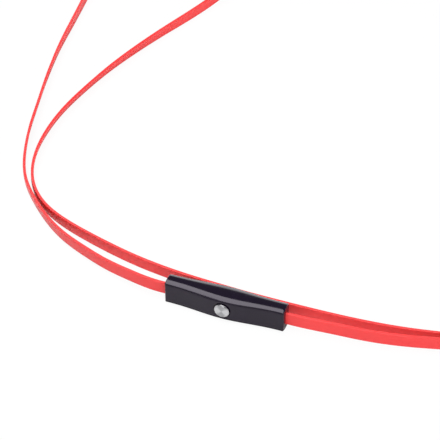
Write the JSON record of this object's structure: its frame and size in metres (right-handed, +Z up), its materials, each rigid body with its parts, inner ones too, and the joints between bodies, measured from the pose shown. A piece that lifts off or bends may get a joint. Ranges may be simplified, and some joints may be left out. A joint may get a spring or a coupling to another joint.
{
  "type": "wired earphones",
  "caption": "Wired in-ear earphones with flat cables, an in-line remote with a round push button, a cable splitter, a tied coil of cable and a jack plug.",
  "frame": {"origin": "on the resting surface, under the middle of the in-line remote, on the flat lower side that it stands on", "axes": "+X runs along the remote towards the cable splitter, +Y points out of the remote's back, away from its button, and +Z is up"},
  "size_m": [0.2784, 0.2228, 0.0126],
  "materials": {
    "housing_gloss": "polished black moulding",
    "spun_aluminium": "spun face with a bright chamfer",
    "switch_metal": "satin",
    "inner_plastic": "moulded",
    "board": "solder mask",
    "cable_red": "satin extruded jacket",
    "soft_black": "matt moulded",
    "contact_gold": "gold plated",
    "silicone": "soft silicone",
    "steel_mesh": "satin",
    "magnet": "nickel plated",
    "film": "thin film"
  },
  "bodies": {
    "earphones": {"remote_face_plate": "housing_gloss", "remote_back_shell": "housing_gloss", "switch_body": "switch_metal", "circuit_board": "board", "microphone": "switch_metal", "left_nozzle_mesh": "steel_mesh", "left_front_housing": "housing_gloss", "left_accent_ring": "spun_aluminium", "left_rear_cap": "housing_gloss", "left_rear_disc": "spun_aluminium", "left_driver_frame": "steel_mesh", "left_driver_magnet": "magnet", "left_strain_relief": "soft_black", "right_nozzle_mesh": "steel_mesh", "right_front_housing": "housing_gloss", "right_accent_ring": "spun_aluminium", "right_rear_cap": "housing_gloss", "right_rear_disc": "spun_aluminium", "right_driver_frame": "steel_mesh", "right_driver_magnet": "magnet", "right_strain_relief": "soft_black", "left_lead": "cable_red", "right_lead_upper": "cable_red", "right_lead_lower": "cable_red", "main_cable": "cable_red", "main_cable_coil": "cable_red", "plug_lead": "cable_red", "cable_tie_1": "soft_black", "cable_tie_2": "soft_black", "splitter_front": "housing_gloss", "splitter_back": "housing_gloss", "plug_boot": "soft_black", "plug_grip": "housing_gloss", "plug_collar": "spun_aluminium", "plug_sleeve": "contact_gold", "plug_insulator_1": "inner_plastic", "plug_ring_2": "contact_gold", "plug_insulator_2": "inner_plastic", "plug_ring_1": "contact_gold", "plug_insulator_3": "inner_plastic", "plug_tip": "contact_gold"},
    "button": {"remote_button": "housing_gloss", "button_disc": "spun_aluminium"},
    "plunger": {"switch_plunger": "inner_plastic"},
    "left_tip": {"left_ear_tip": "silicone"},
    "right_tip": {"right_ear_tip": "silicone"},
    "left_diaphragm_body": {"left_diaphragm": "film"},
    "right_diaphragm_body": {"right_diaphragm": "film"}
  },
  "joints": [
    {"name": "button_press", "type": "slide", "parent": "earphones", "child": "button", "axis": [0, 1, 0], "range_m": [0, 0.00035], "stiffness_N_per_m": 2500},
    {"name": "plunger_press", "type": "slide", "parent": "earphones", "child": "plunger", "axis": [0, 1, 0], "range_m": [0, 0.00035]},
    {"name": "left_tip_pull", "type": "slide", "parent": "earphones", "child": "left_tip", "axis": [-0.9417, 0.3363, 0], "range_m": [0, 0.009]},
    {"name": "right_tip_pull", "type": "slide", "parent": "earphones", "child": "right_tip", "axis": [0.999, 0.0444, 0], "range_m": [0, 0.009]},
    {"name": "left_diaphragm_travel", "type": "slide", "parent": "earphones", "child": "left_diaphragm_body", "axis": [-0.9417, 0.3363, 0], "range_m": [-0.0002, 0.0002], "stiffness_N_per_m": 300},
    {"name": "right_diaphragm_travel", "type": "slide", "parent": "earphones", "child": "right_diaphragm_body", "axis": [0.999, 0.0444, 0], "range_m": [-0.0002, 0.0002], "stiffness_N_per_m": 300}
  ],
  "couplings": [
    {"joint": "plunger_press", "follows": "button_press", "ratio": 1}
  ]
}
